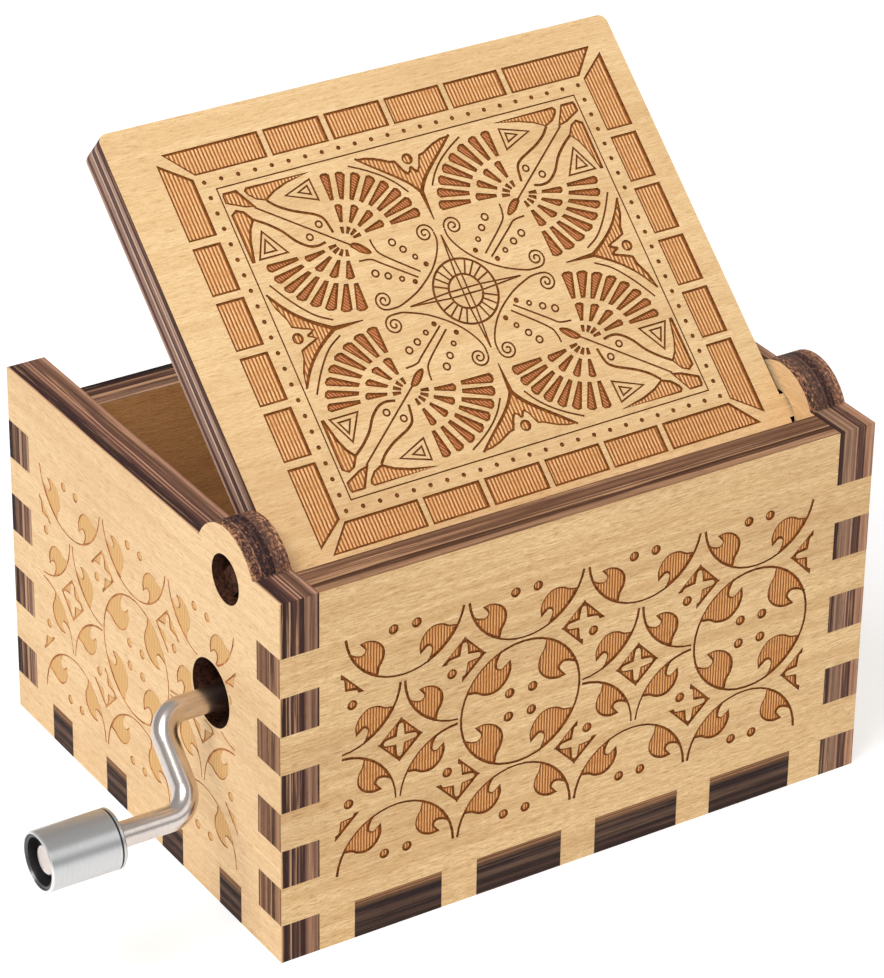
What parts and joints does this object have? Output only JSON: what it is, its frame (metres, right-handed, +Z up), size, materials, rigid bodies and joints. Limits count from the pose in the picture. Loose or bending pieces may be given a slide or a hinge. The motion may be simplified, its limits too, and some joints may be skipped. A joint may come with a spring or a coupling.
{
  "type": "hand crank music box",
  "caption": "Small hand-cranked music box: finger-jointed plywood case with a hinged lid, and a wire crank that turns a pinned cylinder past a steel comb.",
  "frame": {"origin": "centre of the case's bottom face, on the surface that the box stands on", "axes": "+Z up; +X out of the wall that the crank comes through; +Y towards the hinge side of the lid"},
  "size_m": [0.0851, 0.051, 0.0649],
  "materials": {
    "birch_plywood": "laser-cut plywood, light faces, burnt brown edges",
    "zinc_casting": "bare grey zinc casting",
    "comb_steel": "ground spring steel",
    "brass": "drawn brass",
    "bronze": "sintered bronze",
    "screw_steel": "zinc-plated steel",
    "wire_steel": "nickel-plated steel wire",
    "shaft_steel": "bright drawn steel",
    "lead": "dull grey lead",
    "knob_aluminium": "satin turned aluminium",
    "black_nylon": "black moulded nylon"
  },
  "bodies": {
    "case": {"bottom_board": "birch_plywood", "front_wall": "birch_plywood", "back_wall": "birch_plywood", "crank_wall": "birch_plywood", "plain_wall": "birch_plywood", "bedplate": "zinc_casting", "gear_bracket": "zinc_casting", "tail_bracket": "zinc_casting", "shaft_bushes": "bronze", "arbor_bushes": "bronze", "comb": "comb_steel", "comb_weights": "lead", "comb_screws": "screw_steel", "bracket_screws": "screw_steel", "movement_screws": "screw_steel"},
    "lid": {"lid": "birch_plywood"},
    "cylinder": {"music_cylinder": "brass", "cylinder_caps": "brass", "cylinder_arbor": "shaft_steel", "arbor_ring": "shaft_steel", "worm_wheel": "brass"},
    "crank": {"crank_wire": "wire_steel", "worm": "shaft_steel", "shaft_ring": "shaft_steel"},
    "knob": {"knob_sleeve": "knob_aluminium", "knob_liner": "black_nylon"}
  },
  "joints": [
    {"name": "lid_hinge", "type": "hinge", "parent": "case", "child": "lid", "pos_m": [0, 0.0161, 0.03537], "axis": [-1, 0, 0], "range_deg": [-41.4, 94]},
    {"name": "crank_turn", "type": "hinge", "parent": "case", "child": "crank", "pos_m": [0.012, 0.0132, 0.0215], "axis": [1, 0, 0], "continuous": true},
    {"name": "cylinder_turn", "type": "hinge", "parent": "case", "child": "cylinder", "pos_m": [0.012, 0, 0.0132], "axis": [0, 1, 0], "continuous": true},
    {"name": "knob_spin", "type": "hinge", "parent": "crank", "child": "knob", "pos_m": [0.0457, 0.01975, 0.01504], "axis": [1, 0, 0], "continuous": true}
  ],
  "couplings": [
    {"joint": "cylinder_turn", "follows": "crank_turn", "ratio": -0.041667}
  ]
}
